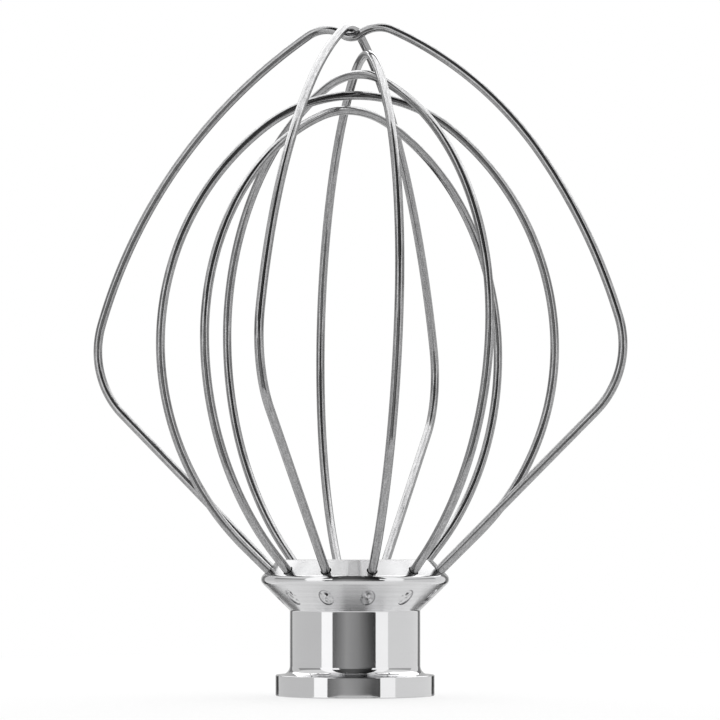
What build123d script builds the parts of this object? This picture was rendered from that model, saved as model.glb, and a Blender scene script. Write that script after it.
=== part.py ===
import os
from math import atan2, cos, radians, sin, tan

from build123d import *

# Wire whisk head standing on its hub. Millimetres and degrees, +Z up along the drive spindle,
# origin at the centre of the hub's base face. Angles round the hub are counted from +X.

# Turned hub: base flange, barrel, flare, rim and the bevel that carries the wires
base_radius = 17.0
base_thickness = 4.45
base_edge_round = 0.2
barrel_radius = 13.95
barrel_root_fillet = 1.95
barrel_top = 18.15
flare_rise = 6.6
flare_root_fillet = 0.4
rim_radius = 20.65
rim_round = 1.35
bevel_width = 4.1
top_edge_round = 0.4

# Drive bore with the pocket that turns onto the spindle's cross pin
spindle_diameter = 12.7
spindle_clearance = 0.1
bore_chamfer = 0.7
bore_point = 118.0
bore_roof = 1.6
pin_diameter = 3.2
pin_play = 0.4
pin_reach = 2.9
pin_pocket_height = 11.0
pin_turn = 65.0

# Wire seats: blind holes square to the bevel, two to a wire, each staked from the flare below it
wire_count = 6
wire_diameter = 1.9
seat_inset = 1.9
seat_depth = 8.0
seat_clearance = 0.05
seat_end_gap = 0.3
seat_countersink = 0.15
splay = 46.0
stake_diameter = 3.2
stake_rise = 2.95
stake_turn = -2.0
stake_depth = 0.4
pip_diameter = 0.9
pip_rise = 0.75
pip_depth = 0.5

# Two outer wires: straight legs, a shoulder and bowed arms; one ducks under the other beside the axis.
# They are bent by hand, so the far half of each, across the hub from its seat, has sizes of its own
crossing_shift = -0.75
crossing_gap = 0.08
shoulder_radius = 19.5
shoulder_over = 17.0
over_top = 143.65
over_sway = -0.65
over_leg = 44.35
over_far_leg = 47.1
over_crown_radius = 14.6
over_arm_fall = 26.0
over_arm_run = 12.0
under_leg = 48.1
under_far_leg = 49.0
under_arm_fall = 25.5
under_far_arm_fall = 31.7
under_arm_run = 22.5
under_far_arm_run = 14.3
notch_radius = 3.2
notch_angle = 34.0
hump_radius = 7.6

# Four inner wires, tallest first: top height, leg, bow radius, crown run, sideways sway of the whole loop
# and drift, by which its apex and widest points lie off the axis toward its seat
tall_top = 137.9
tall_leg = 3.4
tall_bow = 73.7
tall_crown = 6.0
tall_sway = 1.55
tall_drift = 1.2
high_top = 133.5
high_leg = 4.45
high_bow = 69.0
high_crown = 4.8
high_sway = 0.2
high_drift = 0.85
mid_top = 128.95
mid_leg = 9.1
mid_bow = 58.5
mid_crown = 11.6
mid_sway = 0.15
mid_drift = 1.0
low_top = 125.8
low_leg = 5.9
low_bow = 61.4
low_crown = 5.0
low_sway = -0.85
low_drift = 0.75

# Places that follow from the sizes; cutters stand proud of the face they enter by cut_over
cut_over = 1.5
seat_pitch = 180.0 / wire_count
bevel_slope = tan(radians(splay))
rim_height = barrel_top + flare_rise
top_radius = rim_radius - bevel_width
hub_height = rim_height + bevel_width * bevel_slope
seat_radius = rim_radius - seat_inset
seat_height = rim_height + seat_inset * bevel_slope
flare_lean = atan2(flare_rise, rim_radius - barrel_radius)
stake_radius = barrel_radius + stake_rise / tan(flare_lean)
stake_height = barrel_top + stake_rise
bore_radius = spindle_diameter / 2 + spindle_clearance
bore_tip = hub_height - bore_roof
bore_depth = bore_tip - bore_radius / tan(radians(bore_point / 2))


def turned(*points, arc=360.0):
    """Solid of revolution about Z from an outline of (radius, height) points."""
    return revolve(Plane.XZ * make_face(Polyline(*points, close=True)), Axis.Z, arc)


def hub_blank():
    """Turned blank; each corner of its outline gets its own round."""
    ledge = base_radius - base_edge_round - barrel_radius
    corners = (
        (base_radius, 0, base_edge_round),
        (base_radius, base_thickness, base_edge_round),
        (barrel_radius, base_thickness, min(barrel_root_fillet, 0.8 * ledge)),
        (barrel_radius, barrel_top, flare_root_fillet),
        (rim_radius, rim_height, rim_round),
        (top_radius, hub_height, top_edge_round),
    )
    outline = [(radius, height) for radius, height, size in corners]
    face = make_face(Polyline((0, 0), *outline, (0, hub_height), close=True))
    for radius, height, size in corners:
        corner = face.vertices().sort_by_distance((radius, height, 0))[0]
        face = fillet(corner, size)
    return revolve(Plane.XZ * face, Axis.Z)


def drive_bore():
    """Blind bore with a chamfered mouth, a slot for the pin and the pocket in which it turns."""
    bore = turned(
        (0, -cut_over),
        (bore_radius + bore_chamfer + cut_over, -cut_over),
        (bore_radius, bore_chamfer),
        (bore_radius, bore_depth),
        (0, bore_tip),
    )
    width = pin_diameter + pin_play
    reach = bore_radius + pin_reach
    floor = pin_pocket_height
    ceiling = floor + width
    slot = Pos(reach / 2, 0, ceiling / 2) * Box(reach, width, ceiling)
    pocket = turned((0, floor), (reach, floor), (reach, ceiling), (0, ceiling), arc=pin_turn)
    stop = Rot(0, 0, pin_turn) * Pos(reach / 2, 0, floor + width / 2) * Box(reach, width, width)
    return bore + slot + pocket + stop


def seat_drill():
    """Wire hole along -Z of its own frame, countersunk at the mouth."""
    radius = wire_diameter / 2 + seat_clearance
    wide = radius + seat_countersink
    return turned(
        (0, -seat_depth),
        (radius, -seat_depth),
        (radius, -seat_countersink),
        (wide, 0),
        (wide, cut_over),
        (0, cut_over),
    )


def stake_punch():
    """Punch mark driven straight at the axis: a floor that follows the flare, and a pointed pip in it."""
    out = Plane((0, 0, stake_height), (0, 1, 0), (1, 0, 0))
    radius = stake_diameter / 2
    bar = turned((0, 0), (radius, 0), (radius, rim_radius), (0, rim_radius))
    low = stake_height - stake_diameter
    high = stake_height + stake_diameter
    spread = stake_diameter / tan(flare_lean)
    floor = stake_radius - stake_depth
    core = turned((0, low), (floor - spread, low), (floor + spread, high), (0, high))
    pip_floor = floor + pip_rise / tan(flare_lean)
    pip = turned((0, pip_floor - pip_depth), (pip_diameter / 2, pip_floor), (0, pip_floor + cut_over))
    return (out * bar - core) + out * Pos(0, pip_rise, 0) * pip


def hub():
    """Blank less the bore, the wire holes and the punch marks."""
    seat_way = (sin(radians(splay)), 0, cos(radians(splay)))
    drill = Plane((seat_radius, 0, seat_height), (0, 1, 0), seat_way) * seat_drill()
    punch = Rot(0, 0, stake_turn) * stake_punch()
    body = hub_blank() - drive_bore()
    for seat in range(2 * wire_count):
        body -= Rot(0, 0, seat * seat_pitch) * (drill + punch)
    return body


def lean(angle):
    """Unit vector in a wire's own plane, tilted outward from the axis by the angle."""
    return Vector(sin(radians(angle)), cos(radians(angle)))


def foot(leg, radius, over=0.0, sway=0.0):
    """Leg out of its hole, then the arc that turns it up, past upright and a little sideways."""
    way = lean(splay)
    mouth = Vector(seat_radius, seat_height)
    bend = mouth + way * leg
    onward = lean(-over).rotate(Axis.X, sway)
    turn = radians(way.get_angle(onward))
    chord = (way + onward).normalized() * (2 * radius * sin(turn / 2))
    tail = mouth - way * (seat_depth - seat_end_gap)
    return [Line(tail, bend), TangentArc(bend, bend + chord, tangent=way)]


def biarc(start, start_way, end, end_way, end_run):
    """Two tangent arcs joining two directed points; end_run is the last arc's tangent length."""
    span = end - start
    rest = span.dot(span) - 2 * end_run * span.dot(end_way)
    start_run = rest / (2 * span.dot(start_way) + 2 * end_run * (1 - start_way.dot(end_way)))
    near = start + start_way * start_run
    far = end - end_way * end_run
    middle = near + (far - near) * (start_run / (start_run + end_run))
    first = TangentArc(start, middle, tangent=start_way)
    return [first, TangentArc(middle, end, tangent=first % 1)]


def looped(near, far):
    """Wire swept along two half paths, the far one mirrored, standing in the XZ plane."""
    path = Wire(near + [edge.mirror(Plane.YZ) for edge in far])
    start = near[0]
    section = Plane(start @ 0, z_dir=start % 0) * Circle(wire_diameter / 2)
    return Plane.XZ * sweep(section, path)


def outer_half(leg, crown, arm_run, sway=0.0):
    """Half an outer wire; crown is its run of arcs from the crossing out to the arm."""
    half = foot(leg, shoulder_radius, shoulder_over, sway)
    shoulder = half[-1]
    tip = crown[-1]
    return half + biarc(shoulder @ 1, shoulder % 1, tip @ 1, -(tip % 1), arm_run) + crown


def outer_over():
    """Outer wire with a plain round crown, the upper one at the crossing."""
    crown = JernArc((0, over_top, crossing_shift), (1, 0), over_crown_radius, -over_arm_fall)
    near = outer_half(over_leg, [crown], over_arm_run, over_sway)
    far = outer_half(over_far_leg, [crown], over_arm_run, over_sway)
    return looped(near, far)


def ducking_half(shift, leg, arm_fall, arm_run):
    """Half of the outer wire that ducks below the other one: half a notch, then a hump."""
    floor = over_top - wire_diameter - crossing_gap
    dip = JernArc((shift, floor), (1, 0), notch_radius, notch_angle)
    hump = JernArc(dip @ 1, dip % 1, hump_radius, -(notch_angle + arm_fall))
    return outer_half(leg, [dip, hump], arm_run)


def outer_under():
    """Outer wire with a notch between two humps, where the other one passes over it."""
    near = ducking_half(crossing_shift, under_leg, under_arm_fall, under_arm_run)
    far = ducking_half(-crossing_shift, under_far_leg, under_far_arm_fall, under_far_arm_run)
    return looped(near, far)


def inner_wire(top, leg, bow, crown, sway, drift):
    """Inner loop: leg, bow up to its widest point, then two arcs over to the apex. Drift lengthens one
    leg and shortens the other, with their bows set against it, so both sides stay equally tall."""
    tilt = radians(splay)
    longer = drift * sin(tilt) / (1 - cos(tilt))
    bend = foot(leg, bow, sway=sway)[-1]
    up = bend % 1
    summit = bend @ 1 + up * ((top - (bend @ 1).Y) / up.Y)
    halves = []
    for side in (1, -1):
        half = foot(leg + side * longer, bow - side * longer / tan(tilt), sway=sway)
        apex = Vector(side * drift, summit.Y, summit.Z)
        halves.append(half + biarc(half[-1] @ 1, up, apex, Vector(-1, 0), crown))
    return looped(*halves)


# Wires in their order round the hub, one seat pitch apart, the first in the XZ plane
wires = (
    ("outer_wire_under", outer_under()),
    ("inner_wire_mid", inner_wire(mid_top, mid_leg, mid_bow, mid_crown, mid_sway, mid_drift)),
    ("inner_wire_low", inner_wire(low_top, low_leg, low_bow, low_crown, low_sway, low_drift)),
    ("outer_wire_over", outer_over()),
    ("inner_wire_tall", inner_wire(tall_top, tall_leg, tall_bow, tall_crown, tall_sway, tall_drift)),
    ("inner_wire_high", inner_wire(high_top, high_leg, high_bow, high_crown, high_sway, high_drift)),
)

os.makedirs("parts", exist_ok=True)
export_step(hub(), "parts/hub.step")
for seat, (name, wire) in enumerate(wires):
    export_step(Rot(0, 0, seat * seat_pitch) * wire, f"parts/{name}.step")
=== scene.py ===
import bpy
import numpy as np
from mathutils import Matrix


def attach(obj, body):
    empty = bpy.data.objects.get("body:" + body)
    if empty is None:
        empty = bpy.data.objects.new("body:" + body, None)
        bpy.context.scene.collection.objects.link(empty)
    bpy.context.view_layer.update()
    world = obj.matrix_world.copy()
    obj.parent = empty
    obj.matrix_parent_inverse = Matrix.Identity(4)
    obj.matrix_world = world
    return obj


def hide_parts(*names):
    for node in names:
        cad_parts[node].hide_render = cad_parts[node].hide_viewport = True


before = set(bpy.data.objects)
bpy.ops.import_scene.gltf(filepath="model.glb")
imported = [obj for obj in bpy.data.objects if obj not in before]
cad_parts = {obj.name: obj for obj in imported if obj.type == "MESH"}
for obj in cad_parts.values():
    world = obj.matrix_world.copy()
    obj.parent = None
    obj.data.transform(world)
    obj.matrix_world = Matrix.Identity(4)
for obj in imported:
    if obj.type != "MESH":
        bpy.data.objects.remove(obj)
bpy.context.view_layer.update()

# Hub: one turning in stainless steel that carries every wire. Its flange, barrel and rim are polished, and
# its flare and bevel keep a fine tool finish. Twelve blind holes in the bevel take the wires' ends, a punch
# driven into the flare under each hole grips them, and a bore from below takes the spindle.
mm = 0.001
base_radius = 17.0 * mm
base_thickness = 4.45 * mm
base_edge_round = 0.2 * mm
base_face_start = base_radius - 8 * base_edge_round
barrel_radius = 13.95 * mm
barrel_root_fillet = 1.95 * mm
barrel_top = 18.15 * mm
flare_rise = 6.6 * mm
flare_root_fillet = 0.4 * mm
rim_radius = 20.65 * mm
rim_round = 1.35 * mm
bevel_width = 4.1 * mm
top_edge_round = 0.4 * mm
splay = np.radians(46.0)
rim_height = barrel_top + flare_rise
top_radius = rim_radius - bevel_width
hub_height = rim_height + bevel_width * np.tan(splay)
bore_radius = 6.45 * mm
bore_chamfer = 0.7 * mm
bore_roof = 1.6 * mm
bore_point = np.radians(118.0)
bore_tip = hub_height - bore_roof
bore_depth = bore_tip - bore_radius / np.tan(bore_point / 2)
pin_half_width = 1.8 * mm
pin_slot_depth = 2.9 * mm
pin_reach = bore_radius + pin_slot_depth
pin_floor = 11.0 * mm
pin_ceiling = pin_floor + 2 * pin_half_width
pin_turn = np.radians(65.0)
wire_radius = 0.95 * mm
seat_count = 12
seat_inset = 1.9 * mm
seat_radius = rim_radius - seat_inset
seat_height = rim_height + seat_inset * np.tan(splay)
seat_depth = 8.0 * mm
seat_clearance = 0.05 * mm
seat_bore = wire_radius + seat_clearance
seat_countersink = 0.15 * mm
seat_shadow_inset = 0.15 * seat_countersink
stake_radius = 1.6 * mm
stake_rise = 2.95 * mm
stake_turn = np.radians(-2.0)
stake_depth = 0.4 * mm
pip_radius = 0.45 * mm
pip_rise = 0.75 * mm
pip_depth = 0.5 * mm
# Depth over which a pip's painted shade grows to full.
pip_shade_fade = 0.25 * pip_depth
tear_wander = 0.16 * mm
burr_radius = 0.3 * mm
burr_rise = 0.1 * mm
burr_height = 0.12 * mm
lobe_height = 0.03 * mm
wall_shares = (1.1, 1.05, 1.0, 0.96)
floor_shares = np.linspace(0.9, 0.0, 19)
border_shares = (1.0, 0.95, 0.75, 0.5, 0.25, 0.06)
columns = 480
slot_columns = 22
end_columns = 12
stop_column = 87
shading_gap = 0.1 * mm
shortest_eased_run = 3 * shading_gap
weld_grid = 1e-5 * mm
crease = np.radians(32.0)

# Each finish tells how far a surface is (struck, tooled, matt). Struck metal has dark specks at 1, and is
# dark from 2 up: that darkening is painted shade, the shadow deep in the punch marks' pips and in the gap
# round each wire.
polished_finish = (0.0, 0.0, 0.0)
struck_finish = (1.0, 0.0, 0.0)
tooled_finish = (0.0, 1.0, 0.0)
matt_finish = (0.0, 0.0, 1.0)
top_finish = (0.0, 1.5, 0.8)
# Painted shade for the gap that a hole leaves round its wire.
gap_painted_shade_finish = (4.0, 0.0, 1.0)


def unit(vector):
    """The vector divided by its length."""
    return vector / np.linalg.norm(vector)


def spun(x, y, z, turn):
    """Points turned about Z: (x cos a - y sin a, x sin a + y cos a, z)."""
    return np.stack([x * np.cos(turn) - y * np.sin(turn), x * np.sin(turn) + y * np.cos(turn), z], axis=-1)


def arc(start, way, end, steps):
    """Arc that leaves start along way and ends at end. The whole chord leans an angle a from way; after a
    share t of the turn the chord leans t a and is |end - start| sin(t a) / sin(a) long."""
    chord = end - start
    length = np.linalg.norm(chord)
    lean = np.arccos(np.clip(way @ chord / length, -1.0, 1.0))
    side = unit(chord - way * (way @ chord))
    leans = np.linspace(0.0, lean, steps + 1)[:, None]
    reach = length * np.sin(leans) / np.sin(lean)
    return start + reach * (way * np.cos(leans) + side * np.sin(leans))


def rounded(before, corner, after, radius, steps=8):
    """Arc in place of an outline's corner, touching both sides at radius tan(half the turn) from it."""
    arrive = unit(corner - before)
    leave = unit(after - corner)
    reach = radius * np.tan(np.arccos(arrive @ leave) / 2)
    return arc(corner - arrive * reach, arrive, corner + leave * reach, steps)


def eased(outline):
    """Outline with a point added near both ends of each straight run, which keeps its shading flat."""
    step = np.diff(outline, axis=0)
    length = np.linalg.norm(step, axis=1)
    runs = np.flatnonzero(length > shortest_eased_run)
    inset = step[runs] / length[runs, None] * shading_gap
    added = np.stack([outline[runs] + inset, outline[runs + 1] - inset], axis=1).reshape(-1, 2)
    return np.insert(outline, np.repeat(runs + 1, 2), added, axis=0)


def turned(outline):
    """Surface of revolution: (radius, height) rows carried round Z, (r cos a, r sin a, h)."""
    angle = np.arange(columns) * 2 * np.pi / columns
    radius = outline[:, :1]
    height = np.broadcast_to(outline[:, 1:], (len(outline), columns))
    return np.stack([radius * np.cos(angle), radius * np.sin(angle), height], axis=-1)


def drive_outline(radius, opening):
    """Bore at one height: a circle of the radius, opened into the pin's slot or into its whole pocket.
    Each corner has its own column, so it lies on the same column at every height."""
    half = pin_half_width
    edge = np.arcsin(half / radius)
    mouth = np.sqrt(radius**2 - half**2)
    column = np.arange(columns) - slot_columns
    keys = [-slot_columns, slot_columns, stop_column - slot_columns, stop_column + slot_columns]
    keys.append(columns - slot_columns)
    angle = np.interp(column, keys, [-edge, edge, pin_turn - edge, pin_turn + edge, 2 * np.pi - edge])
    outline = radius * np.exp(1j * angle)
    slot = np.array([mouth - 1j * half, pin_reach - 1j * half, pin_reach + 1j * half, mouth + 1j * half])
    keys = np.array([-slot_columns, -end_columns, end_columns, slot_columns])
    if opening == "pocket":
        side = np.arcsin(half / pin_reach)
        round_keys = np.arange(end_columns, stop_column - end_columns + 1)
        sweep = np.linspace(side, pin_turn - side, len(round_keys))
        stop = np.exp(1j * pin_turn) * np.conj(slot[::-1])
        slot = np.concatenate([slot[:2], pin_reach * np.exp(1j * sweep), stop[2:]])
        keys = np.concatenate([keys[:2], round_keys, stop_column + keys[2:]])
    if opening:
        inside = column <= keys[-1]
        outline[inside] = np.interp(column[inside], keys, slot)
    return np.roll(outline, -slot_columns)


def drive_bore():
    """Bore from its drilled tip down to the base face: stacked outlines, two at each step in height."""
    levels = (
        (bore_radius, "", bore_depth),
        (bore_radius, "", pin_ceiling),
        (bore_radius, "pocket", pin_ceiling),
        (bore_radius, "pocket", pin_floor),
        (bore_radius, "slot", pin_floor),
        (bore_radius, "slot", bore_chamfer),
        (bore_radius + bore_chamfer, "slot", 0.0),
    )
    rings = [np.stack([np.zeros(columns), np.zeros(columns), np.full(columns, bore_tip)], axis=-1)]
    for radius, opening, height in levels:
        outline = drive_outline(radius, opening)
        rings.append(np.stack([outline.real, outline.imag, np.full(columns, height)], axis=-1))
    return np.stack(rings)


def marked_band(centre, slope, way_out, turn, ends, rings, depth):
    """Conical band between two points of its slope, in like sectors with one mark in each. A mark sinks
    straight against its way out and is round when seen along it, so up the slope it is longer by
    1 / |slope x way out|. A sector's grid runs round its mark, from the sector's four borders in to the
    first ring and then ring by ring, each sunk by its depth d: x = r cos a - d out_r, y = r sin a,
    z = h - d out_z, turned by the mark's own angle and the sector's."""
    half = np.pi / seat_count
    low, high = (ends - centre) @ slope
    along = np.linspace(-half, half, columns // seat_count + 1)
    up = np.linspace(low, high, len(along) // 2)
    flat = np.ones(len(along) - 1)
    tall = np.ones(len(up) - 1)
    border_angle = np.concatenate([along[:-1], half * tall, along[:0:-1], -half * tall]) - turn
    border_up = np.concatenate([low * flat, up[:-1], high * flat, up[:0:-1]])
    stretch = 1 / abs(slope[0] * way_out[1] - slope[1] * way_out[0])
    bearing = np.arctan2(border_up / stretch, (centre[0] + slope[0] * border_up) * np.sin(border_angle))
    reach = np.array(rings)[:, None]
    ring_up = reach * stretch * np.sin(bearing)
    ring_angle = np.arcsin(reach * np.cos(bearing) / (centre[0] + slope[0] * ring_up))
    share = np.array(border_shares)[:, None]
    angle = np.concatenate([ring_angle[:1] + share * (border_angle - ring_angle[:1]), ring_angle])
    slope_run = np.concatenate([ring_up[:1] + share * (border_up - ring_up[:1]), ring_up])
    sunk = np.zeros((seat_count, *angle.shape))
    sunk[:, len(share) :] = depth(reach, bearing)
    radius = centre[0] + slope[0] * slope_run
    x = radius * np.cos(angle) - sunk * way_out[0]
    y = np.broadcast_to(radius * np.sin(angle), x.shape)
    z = centre[1] + slope[1] * slope_run - sunk * way_out[1]
    sector = (np.arange(seat_count) * 2 * half)[:, None, None]
    return spun(x, y, z, turn + sector)


def punched(reach, bearing):
    """Depth of the punch marks: a short wall with a groove at its foot, a floor that follows the flare but
    is dished toward its middle, and a pointed pip above that. Three broad lobes, five small ones and a burr,
    placed anew for each mark, tear the floor."""
    wall_edge = 0.98
    groove_edge = 0.94
    groove_depth = 1.1
    floor_depth = 0.9
    floor_dish = 0.2
    small_lobe_share = 0.7
    chance = np.random.default_rng(12)
    share = reach / stake_radius
    floor = floor_depth - floor_dish * share**2
    below_wall = np.where(share > groove_edge, groove_depth, floor)
    level = stake_depth * np.where(share > wall_edge, 0.0, below_wall)
    aside, up = reach * np.cos(bearing), reach * np.sin(bearing)
    shift = chance.normal(0.0, tear_wander, (4, seat_count, 1, 1))
    pip = 1 - np.hypot(aside - shift[0], up - pip_rise - shift[1]) / pip_radius
    burr = np.exp(-((aside - shift[2]) ** 2 + (up - burr_rise - shift[3]) ** 2) / burr_radius**2)
    phase = chance.uniform(0.0, 2 * np.pi, (2, seat_count, 1, 1))
    lobes = np.cos(3 * bearing + phase[0]) + small_lobe_share * np.cos(5 * bearing + phase[1])
    torn = pip_depth * np.maximum(pip, 0.0) - burr_height * burr + lobe_height * lobes * share
    return level + torn * np.where(share > groove_edge, 0.0, 1 - share**6)


def skin(name, grids, trait, values):
    """Mesh from grids that close round their columns: two triangles to a cell, equal points welded and
    collapsed triangles dropped. The trait is a vector kept for each point."""
    points = np.concatenate([grid.reshape(-1, 3) for grid in grids])
    halves = ((0, 1, 2), (0, 2, 3))
    corners = []
    count = 0
    for grid in grids:
        here = count + np.arange(grid[..., 0].size).reshape(grid.shape[:-1])
        count += here.size
        after = np.roll(here, -1, axis=-1)
        cell = (here[..., :-1, :], after[..., :-1, :], after[..., 1:, :], here[..., 1:, :])
        corners += [np.stack([cell[k] for k in half], axis=-1).reshape(-1, 3) for half in halves]
    spots = np.round(points / weld_grid)
    spots, first, welded = np.unique(spots, axis=0, return_index=True, return_inverse=True)
    triangles = welded.reshape(-1)[np.concatenate(corners)]
    a, b, c = triangles.T
    triangles = triangles[(a != b) & (b != c) & (c != a)]
    mesh = bpy.data.meshes.new(name)
    mesh.vertices.add(len(spots))
    mesh.vertices.foreach_set("co", points[first].ravel())
    mesh.loops.add(triangles.size)
    mesh.loops.foreach_set("vertex_index", triangles.ravel())
    mesh.polygons.add(len(triangles))
    mesh.polygons.foreach_set("loop_start", np.arange(0, triangles.size, 3))
    kept = mesh.attributes.new(trait, "FLOAT_VECTOR", "POINT")
    kept.data.foreach_set("vector", np.concatenate([v.reshape(-1, 3) for v in values])[first].ravel())
    mesh.update(calc_edges=True)
    mesh.validate()
    mesh.shade_smooth()
    mesh.set_sharp_from_angle(angle=crease)
    piece = bpy.data.objects.new(name, mesh)
    bpy.context.scene.collection.objects.link(piece)
    return piece


def staked_flare(neck, rim, ends):
    """Flare between two points of its slope, with a punch mark under each seat, and its finish: tooled, but
    punched on the marks' floors, with painted shade that darkens their pips the more the deeper they go."""
    slope = unit(rim - neck)
    mark = neck + slope * (stake_rise / slope[1])
    level_out = (1.0, 0.0)
    rings = stake_radius * np.concatenate([wall_shares, floor_shares])
    band = marked_band(mark, slope, level_out, stake_turn, ends, rings, punched)
    finish = np.zeros(band.shape) + tooled_finish
    finish[:, -len(floor_shares) :] = struck_finish
    x, y, z = np.moveaxis(band, -1, 0)
    depth = mark[0] + (z - mark[1]) * slope[0] / slope[1] - np.hypot(x, y)
    # Painted shade: deeper in a pip the trait climbs from 1 toward 2, which colours it dark.
    finish[..., 0] += np.clip((depth - stake_depth) / pip_shade_fade, 0.0, 1.0)
    return band, finish


def bored_bevel(rim, brow, ends):
    """Bevel between two points of its slope, with a countersunk blind hole square to it at each seat, and
    its finish: matt, but with painted shade, dark, in the gap that a hole leaves round its wire."""
    slope = unit(brow - rim)
    seat = np.array([seat_radius, seat_height])
    square_out = (slope[1], -slope[0])
    mouth = seat_bore + seat_countersink
    rings = [mouth, mouth - seat_shadow_inset, seat_bore, seat_bore, 0.0]
    sunk = np.array([0.0, seat_shadow_inset, seat_countersink, seat_depth, seat_depth])[:, None]
    band = marked_band(seat, slope, square_out, 0.0, ends, rings, lambda reach, bearing: sunk)
    finish = np.zeros(band.shape) + matt_finish
    # Painted shade: the hole's rings, from just inside its mouth down, are coloured dark.
    finish[:, 1 - len(rings) :] = gap_painted_shade_finish
    return band, finish


def hub_turning():
    """The turning's surface in one run: bore, base, flange, barrel, flare, rim, bevel and flat top, each
    with its finish."""
    bore_edge = np.array([bore_radius, 0.0])
    base_edge = np.array([base_radius, 0.0])
    ledge = np.array([base_radius, base_thickness])
    root = np.array([barrel_radius, base_thickness])
    neck = np.array([barrel_radius, barrel_top])
    rim = np.array([rim_radius, rim_height])
    brow = np.array([top_radius, hub_height])
    top_middle = np.array([0.0, hub_height])
    neck_arc = rounded(root, neck, rim, flare_root_fillet, steps=6)
    rim_arc = rounded(neck, rim, brow, rim_round, steps=16)
    brow_arc = rounded(rim, brow, top_middle, top_edge_round)
    lower = np.concatenate([
        [(base_face_start, 0.0)],
        rounded(bore_edge, base_edge, ledge, base_edge_round),
        rounded(base_edge, ledge, root, base_edge_round),
        rounded(ledge, root, neck, barrel_root_fillet, steps=16),
        neck_arc,
    ])
    lower = turned(eased(lower))
    top = turned(eased(np.concatenate([brow_arc, [top_middle]])))
    surfaces = (
        (np.concatenate([drive_bore(), lower[:1]]), polished_finish),
        (lower, polished_finish),
        staked_flare(neck, rim, np.array([neck_arc[-1], rim_arc[0]])),
        (turned(rim_arc), polished_finish),
        bored_bevel(rim, brow, np.array([rim_arc[-1], brow_arc[0]])),
        (top, top_finish),
    )
    grids = [grid for grid, finish in surfaces]
    finishes = [np.broadcast_to(finish, grid.shape) for grid, finish in surfaces]
    return skin("hub_turning", grids, "finish", finishes)


class Reading:
    """One socket of a shader tree that Python operators extend, each operator adding a Math node."""

    def __init__(self, tree, socket=None):
        self.tree = tree
        self.socket = socket

    def node(self, kind, settings=None, sockets=None, output=0):
        """Adds a node of the kind, applies its settings, then the values or links of its sockets."""
        made = self.tree.nodes.new(kind)
        for name, value in (settings or {}).items():
            setattr(made, name, value)
        for name, value in (sockets or {}).items():
            if isinstance(value, Reading):
                self.tree.links.new(value.socket, made.inputs[name])
            else:
                made.inputs[name].default_value = value
        return Reading(self.tree, made.outputs[output] if made.outputs else None)

    def out(self, name):
        """Another output of the node that this reading comes from."""
        return Reading(self.tree, self.socket.node.outputs[name])

    def maths(self, operation, first, second):
        """Math node on two values or readings."""
        return self.node("ShaderNodeMath", {"operation": operation}, {0: first, 1: second})

    def __add__(self, other):
        return self.maths("ADD", self, other)

    def __radd__(self, other):
        return self.maths("ADD", other, self)

    def __sub__(self, other):
        return self.maths("SUBTRACT", self, other)

    def __rsub__(self, other):
        return self.maths("SUBTRACT", other, self)

    def __mul__(self, other):
        return self.maths("MULTIPLY", self, other)

    def __rmul__(self, other):
        return self.maths("MULTIPLY", other, self)

    def __pow__(self, other):
        return self.maths("POWER", self, other)


def empty_material(name):
    """New material with an empty tree, and a reading to grow that tree from."""
    material = bpy.data.materials.new(name)
    material.use_nodes = True
    material.node_tree.nodes.clear()
    return material, Reading(material.node_tree)


def noise(tree, place, scale, detail=3.0):
    """Noise from 0 to 1 about a mean of a half, with its scale in cycles to a metre of the place."""
    return tree.node("ShaderNodeTexNoise", {}, {"Vector": place, "Scale": scale, "Detail": detail})


def blended(tree, share, first, second):
    """Colour between two greys or readings of colour. A grey of steel has a slight cast of blue."""
    blue_cast = 1.01
    ends = [end if isinstance(end, Reading) else (end, end, blue_cast * end, 1.0) for end in (first, second)]
    return tree.node("ShaderNodeMix", {"data_type": "RGBA"}, {0: share, 6: ends[0], 7: ends[1]}, output=2)


def steel(tree, shade, roughness, bump, **constants):
    """Bare metal as the whole surface of a tree's material."""
    metal = {"Metallic": 1.0, "Base Color": shade, "Roughness": roughness, "Normal": bump}
    shader = tree.node("ShaderNodeBsdfPrincipled", {}, {**metal, **constants})
    tree.node("ShaderNodeOutputMaterial", {}, {"Surface": shader})


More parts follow.
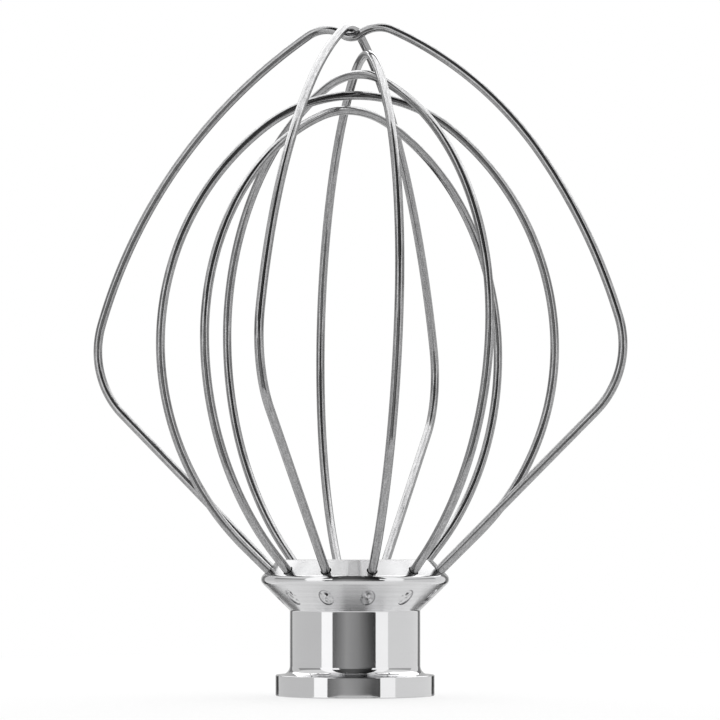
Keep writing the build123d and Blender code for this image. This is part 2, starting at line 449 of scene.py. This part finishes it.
def turned_steel():
    """Hub's finish: rings left by the tool follow radius and height, so they run round the axis. The flare
    and bevel keep them, and elsewhere polish has nearly closed them. The punch marks are torn metal with
    dark specks, and their pips and the gaps round the wires are dark with painted shade."""
    polished_greys = (0.60, 0.66)
    tooled_greys = (0.52, 0.78)
    matt_greys = (0.36, 0.46)
    # Colour of the specks, and of the painted shade in the pips and the wires' gaps.
    speck_and_shade_grey = 0.02
    speck_contrast = 3.5
    speck_level = 1.9
    polish_roughness = 0.045
    ring_roughness = 0.05
    tooled_roughness = 0.17
    matt_roughness = 0.1
    ring_drift = 0.004
    ring_depth = 0.01 * mm
    rings_left_by_polish = 0.1
    broad_ring_height = 0.4
    material, tree = empty_material("turned_steel")
    finish = tree.node("ShaderNodeAttribute", {"attribute_name": "finish"}, output="Vector")
    struck_and_shade = tree.node("ShaderNodeSeparateXYZ", {}, {0: finish})
    tooled, matt = struck_and_shade.out("Y"), struck_and_shade.out("Z")
    place = tree.node("ShaderNodeTexCoord", output="Object")
    x = tree.node("ShaderNodeSeparateXYZ", {}, {0: place})
    y, z = x.out("Y"), x.out("Z")
    radius = (x * x + y * y) ** 0.5
    ring = tree.node("ShaderNodeCombineXYZ", {}, {0: radius, 1: z, 2: (x + y) * ring_drift})
    fine = noise(tree, ring, 7000.0)
    broad = noise(tree, ring, 1400.0, detail=2.0)
    cloud = noise(tree, place, 160.0)
    torn = noise(tree, place, 1500.0)
    polished_shade = blended(tree, 0.6 * fine + 0.4 * cloud, *polished_greys)
    tooled_shade = blended(tree, 0.5 * fine + 0.5 * broad, *tooled_greys)
    matt_shade = blended(tree, 0.5 * fine + 0.5 * cloud, *matt_greys)
    shade = blended(tree, matt, blended(tree, tooled, polished_shade, tooled_shade), matt_shade)
    # Dark specks on punched metal, plus painted shade in the pips and the wires' gaps where the trait passes
    # 1.
    shade = blended(tree, struck_and_shade - 1.0 + struck_and_shade * (speck_contrast * torn - speck_level), shade, speck_and_shade_grey)
    rings_kept = tooled + matt
    roughness = polish_roughness + ring_roughness * fine + tooled_roughness * tooled
    roughness = roughness + matt_roughness * (matt + struck_and_shade)
    fine_height = fine * (rings_left_by_polish + (1 - rings_left_by_polish) * rings_kept)
    height = fine_height + broad_ring_height * broad * rings_kept
    bump = tree.node("ShaderNodeBump", {}, {"Strength": 0.3, "Distance": ring_depth, "Height": height})
    steel(tree, shade, roughness, bump, **{"Anisotropic": 0.85, "Anisotropic Rotation": 0.25})
    return material


hub = hub_turning()
hub.data.materials.append(turned_steel())
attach(hub, "root")
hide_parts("hub")


# Outer wires: two lengths of drawn stainless wire, bent by hand over a former into kite-shaped loops with
# straight legs, so the two halves of each are not quite alike. Beside the axis one dips into a notch and
# passes below the other. Their ends are pushed into opposite holes of the bevel and staked there.
crossing_shift = -0.75 * mm
crossing_gap = 0.08 * mm
shoulder_radius = 19.5 * mm
shoulder_over = np.radians(17.0)
over_seat = 3
over_top = 143.65 * mm
over_sway = np.radians(-0.65)
over_leg = 44.35 * mm
over_far_leg = 47.1 * mm
over_crown_radius = 14.6 * mm
over_arm_fall = np.radians(26.0)
over_arm_run = 12.0 * mm
under_seat = 0
under_leg = 48.1 * mm
under_far_leg = 49.0 * mm
under_arm_fall = np.radians(25.5)
under_far_arm_fall = np.radians(31.7)
under_arm_run = 22.5 * mm
under_far_arm_run = 14.3 * mm
notch_radius = 3.2 * mm
notch_angle = np.radians(34.0)
hump_radius = 7.6 * mm
seat_end_gap = 0.3 * mm
seat_pitch = 2 * np.pi / seat_count
wire_sides = 32
station_run = 1.2 * mm
station_turn = np.radians(2.5)
outward = np.array([1.0, 0.0, 0.0])
across = np.array([0.0, 1.0, 0.0])


def bent(start, way, end):
    """Tangent arc between two points, with a station at each short run or small turn."""
    chord = np.linalg.norm(end - start)
    turn = 2 * np.arccos(np.clip(way @ (end - start) / chord, -1.0, 1.0))
    return arc(start, way, end, int(np.ceil(max(chord / station_run, turn / station_turn))))


def foot(leg, radius, over=0.0, sway=0.0):
    """Leg out of its hole and the arc that turns it up, past upright and a little sideways, in a loop's own
    (out, side, up) directions; also the arc's end and the direction there."""
    way = np.array([np.sin(splay), 0.0, np.cos(splay)])
    mouth = np.array([seat_radius, 0.0, seat_height])
    tail = mouth - way * (seat_depth - seat_end_gap)
    bend = mouth + way * leg
    onward = np.array([-np.sin(over), -np.cos(over) * np.sin(sway), np.cos(over) * np.cos(sway)])
    turn = np.arccos(way @ onward)
    end = bend + unit(way + onward) * (2 * radius * np.sin(turn / 2))
    straight = np.linspace(tail, bend, int(np.ceil((leg + seat_depth) / station_run)) + 1)
    return [straight, bent(bend, way, end)], end, onward


def biarc(start, start_way, end, end_way, end_run):
    """Two tangent arcs that join two directed points; end_run is the last arc's tangent length. With span s,
    the first arc's is (s.s - 2 end_run s.w2) / (2 s.w1 + 2 end_run (1 - w1.w2))."""
    span = end - start
    rest = span @ span - 2 * end_run * (span @ end_way)
    start_run = rest / (2 * (span @ start_way) + 2 * end_run * (1 - start_way @ end_way))
    near = start + start_way * start_run
    far = end - end_way * end_run
    middle = near + (far - near) * (start_run / (start_run + end_run))
    return [bent(start, start_way, middle), bent(middle, unit(far - near), end)]


def crown_arc(start, way, radius, turn):
    """Arc out from the crossing, rising for a positive turn; also the direction in which it ends."""
    onward = way * np.cos(turn) + np.array([-way[2], 0.0, way[0]]) * np.sin(turn)
    return bent(start, way, start + unit(way + onward) * (2 * radius * np.sin(abs(turn) / 2))), onward


def outer_half(leg, crown, tip_way, arm_run, sway=0.0):
    """Half an outer loop: foot, bowed arm, then the crown's arcs from the arm in to the crossing."""
    paths, end, onward = foot(leg, shoulder_radius, shoulder_over, sway)
    inward = [path[::-1] for path in crown[::-1]]
    return paths + biarc(end, onward, crown[-1][-1], -tip_way, arm_run) + inward


def arching_half(leg):
    """Half of the loop that passes over the other one: a single round crown."""
    crossing = np.array([0.0, -crossing_shift, over_top])
    crown, way = crown_arc(crossing, outward, over_crown_radius, -over_arm_fall)
    return outer_half(leg, [crown], way, over_arm_run, over_sway)


def ducking_half(shift, leg, arm_fall, arm_run):
    """Half of the loop that ducks below the other one: half a notch, then a hump."""
    floor = np.array([shift, 0.0, over_top - 2 * wire_radius - crossing_gap])
    dip, way = crown_arc(floor, outward, notch_radius, notch_angle)
    hump, way = crown_arc(dip[-1], way, hump_radius, -(notch_angle + arm_fall))
    return outer_half(leg, [dip, hump], way, arm_run)


def drawn_steel_finish():
    """Satin drawn wire: scratches run along it, with a fine grain over them from tumbling."""
    wire_greys = (0.19, 0.46)
    mottle_contrast = 1.5
    satin_roughness = 0.05
    grain_roughness = 0.08
    grain_depth = 0.03 * mm
    scratch_height = 0.6
    along = 400.0
    round_the_wire = 4500.0
    material, tree = empty_material("drawn_steel")
    drawn = tree.node("ShaderNodeAttribute", {"attribute_name": "drawn"}, output="Vector")
    stretch = (along, round_the_wire, round_the_wire)
    stretched = tree.node("ShaderNodeMapping", {}, {"Vector": drawn, "Scale": stretch})
    scratch = noise(tree, stretched, 1.0)
    grain = noise(tree, drawn, 3200.0)
    shade = blended(tree, mottle_contrast * (scratch + grain - 1.0) + 0.5, *wire_greys)
    height = grain + scratch_height * scratch
    bump = tree.node("ShaderNodeBump", {}, {"Strength": 0.15, "Distance": grain_depth, "Height": height})
    steel(tree, shade, satin_roughness + grain_roughness * grain, bump)
    return material


drawn_steel = drawn_steel_finish()


def joined(paths):
    """One path from several that each start where the last one ends."""
    return np.concatenate([paths[0], *(path[1:] for path in paths[1:])])


def wire_piece(name, node, near_half, far_half, seat):
    """Round wire: a circle carried along the near half's path and the far one's mirror image, turned to its
    seat's angle. A station with tangent t has l = side - (side.t) t and m = t x l, and its ring is
    p + r (l cos b + m sin b). The drawn trait is each point's place on the wire before it was bent."""
    mirrored = (-1.0, 1.0, 1.0)
    path = np.concatenate([joined(near_half), joined(far_half)[-2::-1] * mirrored])
    run = np.concatenate([[0.0], np.cumsum(np.linalg.norm(np.diff(path, axis=0), axis=1))])
    tangent = np.gradient(path, run, axis=0)
    tangent /= np.linalg.norm(tangent, axis=1)[:, None]
    side = across - tangent * tangent[:, 1:2]
    side /= np.linalg.norm(side, axis=1)[:, None]
    cross = np.cross(tangent, side)
    angle = np.linspace(0.0, 2 * np.pi, wire_sides, endpoint=False)[:, None]
    ring = wire_radius * (side[:, None] * np.cos(angle) + cross[:, None] * np.sin(angle)) + path[:, None]
    ends = np.broadcast_to(path[[0, -1], None], (2, wire_sides, 3))
    x, y, z = np.moveaxis(np.concatenate([ends[:1], ring, ends[1:]]), -1, 0)
    length = np.concatenate([run[:1], run, run[-1:]])[:, None] + np.zeros(wire_sides)
    girth = np.broadcast_to(wire_radius * np.exp(1j * angle.T), length.shape)
    drawn = np.stack([length, girth.real, girth.imag], axis=-1)
    piece = skin(name, [spun(x, y, z, seat * seat_pitch)], "drawn", [drawn])
    piece.data.materials.append(drawn_steel)
    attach(piece, "root")
    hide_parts(node)


wire_piece("over_wire", "outer_wire_over", arching_half(over_leg), arching_half(over_far_leg), over_seat)
under_half = ducking_half(crossing_shift, under_leg, under_arm_fall, under_arm_run)
under_far_half = ducking_half(-crossing_shift, under_far_leg, under_far_arm_fall, under_far_arm_run)
wire_piece("under_wire", "outer_wire_under", under_half, under_far_half, under_seat)


# Inner wires: four rounder loops of the same drawn wire, each a little lower than the last, so that they
# pass over one another. They are bent freely: each drifts a little toward its seat and leans sideways.
# Their ends are pushed into the bevel's other holes and staked as the outer wires are.
def inner_wire(name, node, seat, top, leg, bow, crown_run, sway, drift):
    """Rounded loop: on each side a leg, a bow that turns it upright, and two arcs to the apex. With splay s,
    a leg longer by drift sin(s) / (1 - cos(s)), with its bow tightened to match, carries the near side out
    by the drift at the same height, and a shorter one carries the far side in."""
    longer = drift * np.sin(splay) / (1 - np.cos(splay))
    widest, up = foot(leg, bow, sway=sway)[1:]
    summit = widest + up * ((top - widest[2]) / up[2])
    halves = []
    for side in (1, -1):
        reach = bow - side * longer / np.tan(splay)
        paths, widest, up = foot(leg + side * longer, reach, sway=sway)
        apex = np.array([side * drift, summit[1], summit[2]])
        halves.append(paths + biarc(widest, up, apex, -outward, crown_run))
    wire_piece(name, node, *halves, seat)


inner_wire("tall_wire", "inner_wire_tall", seat=4, top=137.9 * mm, leg=3.4 * mm, bow=73.7 * mm,
           crown_run=6.0 * mm, sway=np.radians(1.55), drift=1.2 * mm)
inner_wire("high_wire", "inner_wire_high", seat=5, top=133.5 * mm, leg=4.45 * mm, bow=69.0 * mm,
           crown_run=4.8 * mm, sway=np.radians(0.2), drift=0.85 * mm)
inner_wire("mid_wire", "inner_wire_mid", seat=1, top=128.95 * mm, leg=9.1 * mm, bow=58.5 * mm,
           crown_run=11.6 * mm, sway=np.radians(0.15), drift=1.0 * mm)
inner_wire("low_wire", "inner_wire_low", seat=2, top=125.8 * mm, leg=5.9 * mm, bow=61.4 * mm,
           crown_run=5.0 * mm, sway=np.radians(-0.85), drift=0.75 * mm)


# Lights: two tall softboxes beside the camera, narrower at their feet, and large ones overhead. A dark
# board stands behind the camera and grey ones at the sides and behind, all only for the polished steel to
# mirror. Bearings are in degrees from the camera's side, positive to its right; lengths are in metres.
camera_azimuth = np.radians(19.0)
board_columns = 41
just_above_table = 0.4 * mm
box_distance = 1.1
box_foot_top = 0.1
left_box_top = 1.6
left_box_glow = 1.5
left_box_foot = (-60.9, -40.0)
left_box = (-64.0, -28.0)
right_box_top = 1.25
right_box_glow = 1.35
right_box_foot = (36.4, 59.6)
right_box = (30.0, 62.0)
top_box_height = 0.88
top_box_reach = 0.12
top_boxes = (
    ("softbox_top_left", 2.1, -0.55, -0.03),
    ("softbox_top_seam", 1.6, -0.03, 0.045),
    ("softbox_top_right", 2.1, 0.045, 1.0),
)
back_box_glow = 2.35
back_box_near = (-0.55, 1.0, top_box_reach, top_box_height)
back_box_far = (-0.85, 1.0, 1.15, 0.5)
wall = 1.25
board_top = 0.6
left_grey = 0.76
left_board = (-118.0, -61.0)
left_board_behind = (-146.0, -118.0)
right_grey = 0.95
right_board = (61.0, 118.0)
right_board_behind = (118.0, 146.0)
behind_grey = 0.55
behind_board = (163.0, 197.0)
high_board = (174.0, 206.0)
high_board_distance = 1.05
high_board_foot = 0.3
high_board_top = 0.56
strip_grey = 0.24
strip_bearings = (147.0, 163.0)
strip_apex = 65.0
card_grey = 0.8
card_half_width = 6.5 * mm
card_near = 17.4 * mm
card_far = 26.0 * mm
card_height = 0.3 * mm


def toward(bearing):
    """Level unit vector from the part to a place in the room."""
    turn = camera_azimuth + np.radians(bearing)
    return np.stack([np.sin(turn), -np.cos(turn), np.zeros(np.shape(turn))], axis=-1)


def panel(name, points, glow, lights):
    """Glowing panel on a grid of points, white where its glow is 1. One that doesn't light the table is
    there only for the steel to mirror."""
    rows, count = glow.shape
    index = np.arange(rows * count).reshape(rows, count)
    cells = np.stack([index[:-1, :-1], index[:-1, 1:], index[1:, 1:], index[1:, :-1]], axis=-1)
    mesh = bpy.data.meshes.new(name)
    mesh.from_pydata(points.reshape(-1, 3).tolist(), [], cells.reshape(-1, 4).tolist())
    mesh.attributes.new("glow", "FLOAT", "POINT").data.foreach_set("value", glow.ravel())
    material, tree = empty_material(name)
    shade = tree.node("ShaderNodeAttribute", {"attribute_name": "glow"}, output="Color")
    dark = {"Base Color": (0.0, 0.0, 0.0, 1.0), "Specular IOR Level": 0.0, "Emission Strength": 1.0}
    shader = tree.node("ShaderNodeBsdfPrincipled", {}, {**dark, "Emission Color": shade})
    tree.node("ShaderNodeOutputMaterial", {}, {"Surface": shader})
    mesh.materials.append(material)
    made = bpy.data.objects.new(name, mesh)
    bpy.context.scene.collection.objects.link(made)
    made.visible_camera = False
    made.visible_shadow = False
    made.visible_diffuse = lights


def board(name, bearings, shades, path, lights=False, apex=(0.0, 0.0, 0.0)):
    """Upright panel: a path of (distance, height, share of the shade) carried round the apex through the
    bearings, with one shade for all of them or one for each."""
    turn = np.linspace(bearings[0], bearings[-1], board_columns)
    distance, height, share = np.array(path).T[..., None]
    points = np.array(apex) + distance[..., None] * toward(turn)
    points[..., 2] += height
    shade = np.interp(turn, bearings, np.broadcast_to(shades, len(bearings)))
    panel(name, points, share * shade, lights)


def upright(distance, low, high):
    """Path of a plain board or box that stands at the distance."""
    return (distance, low, 1.0), (distance, high, 1.0)


def slab(name, shade, near, far, lights=True):
    """Flat panel. Its near and far edges each run from left to right, at a distance behind the part and a
    height."""
    points = np.zeros((2, 2, 3))
    for row, (left, right, behind, height) in enumerate((near, far)):
        points[row] = np.array([[left], [right]]) * toward(90.0) - behind * toward(0.0)
        points[row, :, 2] = height
    panel(name, points, np.full((2, 2), shade), lights)


box_foot = upright(box_distance, 0.0, box_foot_top)
left_box_path = upright(box_distance, box_foot_top, left_box_top)
right_box_path = upright(box_distance, box_foot_top, right_box_top)
board("softbox_left_foot", left_box_foot, left_box_glow, box_foot, lights=True)
board("softbox_left", left_box, left_box_glow, left_box_path, lights=True)
board("softbox_right_foot", right_box_foot, right_box_glow, box_foot, lights=True)
board("softbox_right", right_box, right_box_glow, right_box_path, lights=True)
for name, glow, left, right in top_boxes:
    near_edge = (left, right, -top_box_reach, top_box_height)
    far_edge = (left, right, top_box_reach, top_box_height)
    slab(name, glow, near_edge, far_edge)
slab("softbox_top_back", back_box_glow, back_box_near, back_box_far)

front_bearings = (-42.0, -35.0, -25.0, -15.0, -5.0, 5.0, 15.0, 25.0, 40.0)
front_greys = (0.15, 0.18, 0.3, 0.42, 0.41, 0.32, 0.17, 0.07, 0.04)
front_path = (
    (wall, 0.0, 1.0),
    (wall, 0.2, 1.0),
    (wall, 0.33, 0.3),
    (0.56, 0.92, 0.26),
    (0.125, 0.885, 0.26),
)
board("board_front", front_bearings, front_greys, front_path)
foot_bearings = (-35.0, -15.0, 5.0, 33.0)
foot_greys = (0.18, 0.42, 0.32, 0.05)
foot_reach = (0.1, wall - 0.02)
foot_path = [(distance, just_above_table, 1.0) for distance in foot_reach]
board("board_foot", foot_bearings, foot_greys, foot_path)
low_path = upright(wall, 0.0, board_top)
banded_path = (
    (wall, 0.0, 1.0),
    (wall, 0.12, 1.0),
    (wall, 0.2, 0.5),
    (wall, 0.42, 0.5),
    (wall, 0.55, 1.0),
)
board("board_left", left_board, left_grey, banded_path)
board("board_left_behind", left_board_behind, left_grey, low_path)
board("board_right", right_board, right_grey, banded_path)
board("board_right_behind", right_board_behind, right_grey, low_path)
board("board_behind", behind_board, behind_grey, low_path)
high_path = upright(high_board_distance, high_board_foot, high_board_top)
board("board_behind_high", high_board, behind_grey, high_path)
strip_path = (
    (0.025, just_above_table, 0.3),
    (0.12, just_above_table, 0.3),
    (0.2, just_above_table, 1.0),
    (wall, just_above_table, 1.0),
    (wall, board_top, 1.0),
)
for name, side in (("strip_left", -1.0), ("strip_right", 1.0)):
    bearings = [side * bearing for bearing in strip_bearings]
    board(name, bearings, strip_grey, strip_path, apex=toward(side * strip_apex) * base_radius)
card_edges = [(-card_half_width, card_half_width, -out, card_height) for out in (card_near, card_far)]
slab("card_front", card_grey, *card_edges, lights=False)


# Room and table: a white room that looks white but throws little light of its own, and a table in pale
# laminate. Close to the part the table keeps a faint shadow, and where the steel mirrors it at a slant it
# is glossy.
room_glow = 0.2
table_radius = 6.0
table_corner_step = 4.0
table_grey = 0.9
shadow_share = 0.25
shadow_full_to = 0.04
shadow_gone_at = 0.3
mirror_strength = 1.15
mirror_slant = 4.0
mirror_roughness = 0.03
pure_white = (1.0, 1.0, 1.0, 1.0)


def white_rays(tree):
    """1 for the rays that see plain white, from the camera, off metal or through glass; also those off
    metal alone."""
    camera_ray = tree.node("ShaderNodeLightPath", output="Is Camera Ray")
    mirror_ray = camera_ray.out("Is Glossy Ray")
    return camera_ray + mirror_ray + camera_ray.out("Is Transmission Ray"), mirror_ray


def pale_laminate():
    """White to the rays that see it so, but for a share of true shading near the part, and glossier the
    flatter the steel's mirror rays meet it."""
    material, tree = empty_material("pale_laminate")
    seen, mirrored = white_rays(tree)
    place = tree.node("ShaderNodeTexCoord", output="Object")
    away = tree.node("ShaderNodeVectorMath", {"operation": "LENGTH"}, {0: place}, output="Value")
    span = {"From Min": shadow_full_to, "From Max": shadow_gone_at, "To Min": 1.0, "To Max": 0.0}
    close = tree.node("ShaderNodeMapRange", {"interpolation_type": "SMOOTHSTEP"}, {"Value": away, **span})
    matt = tree.node("ShaderNodeBsdfDiffuse", {}, {"Color": (table_grey, table_grey, table_grey, 1.0)})
    white = tree.node("ShaderNodeEmission", {}, {"Color": pure_white})
    plain = tree.node("ShaderNodeMixShader", {}, {0: seen * (1 - shadow_share * close), 1: matt, 2: white})
    gloss = tree.node("ShaderNodeBsdfGlossy", {}, {"Color": pure_white, "Roughness": mirror_roughness})
    slant = tree.node("ShaderNodeLayerWeight", {}, {"Blend": 0.5}, output="Facing")
    glossy = mirror_strength * slant**mirror_slant * mirrored
    surface = tree.node("ShaderNodeMixShader", {}, {0: glossy, 1: plain, 2: gloss})
    tree.node("ShaderNodeOutputMaterial", {}, {"Surface": surface})
    return material


world = bpy.data.worlds.new("white_room")
world.use_nodes = True
world.node_tree.nodes.clear()
bpy.context.scene.world = world
room = Reading(world.node_tree)
room_seen = white_rays(room)[0]
strength = room_glow + (1 - room_glow) * room_seen
sky = room.node("ShaderNodeBackground", {}, {"Color": pure_white, "Strength": strength})
room.node("ShaderNodeOutputWorld", {}, {"Surface": sky})

table_mesh = bpy.data.meshes.new("table")
table_edge = toward(np.arange(0.0, 360.0, table_corner_step)) * table_radius
table_mesh.from_pydata(table_edge.tolist(), [], [list(range(len(table_edge)))])
table_mesh.materials.append(pale_laminate())
table = bpy.data.objects.new("table", table_mesh)
bpy.context.scene.collection.objects.link(table)


# Camera: a long lens a little above the base, three quarters of a metre away. It looks slightly up, at the
# photograph's angle and framing, with everything sharp.
camera_distance = 0.75
camera_height = 31.1 * mm
camera_pitch = np.radians(3.107)
camera_yaw = np.radians(0.0806)
lens = bpy.data.cameras.new("camera")
lens.lens = 174.85
lens.sensor_width = 36.0
lens.clip_start = 0.01
camera = bpy.data.objects.new("camera", lens)
camera.location = toward(0.0) * camera_distance + np.array([0.0, 0.0, camera_height])
camera.rotation_euler = (np.pi / 2 + camera_pitch, 0.0, camera_azimuth - camera_yaw)
bpy.context.scene.collection.objects.link(camera)
bpy.context.scene.camera = camera
bpy.context.scene.view_settings.view_transform = "Standard"
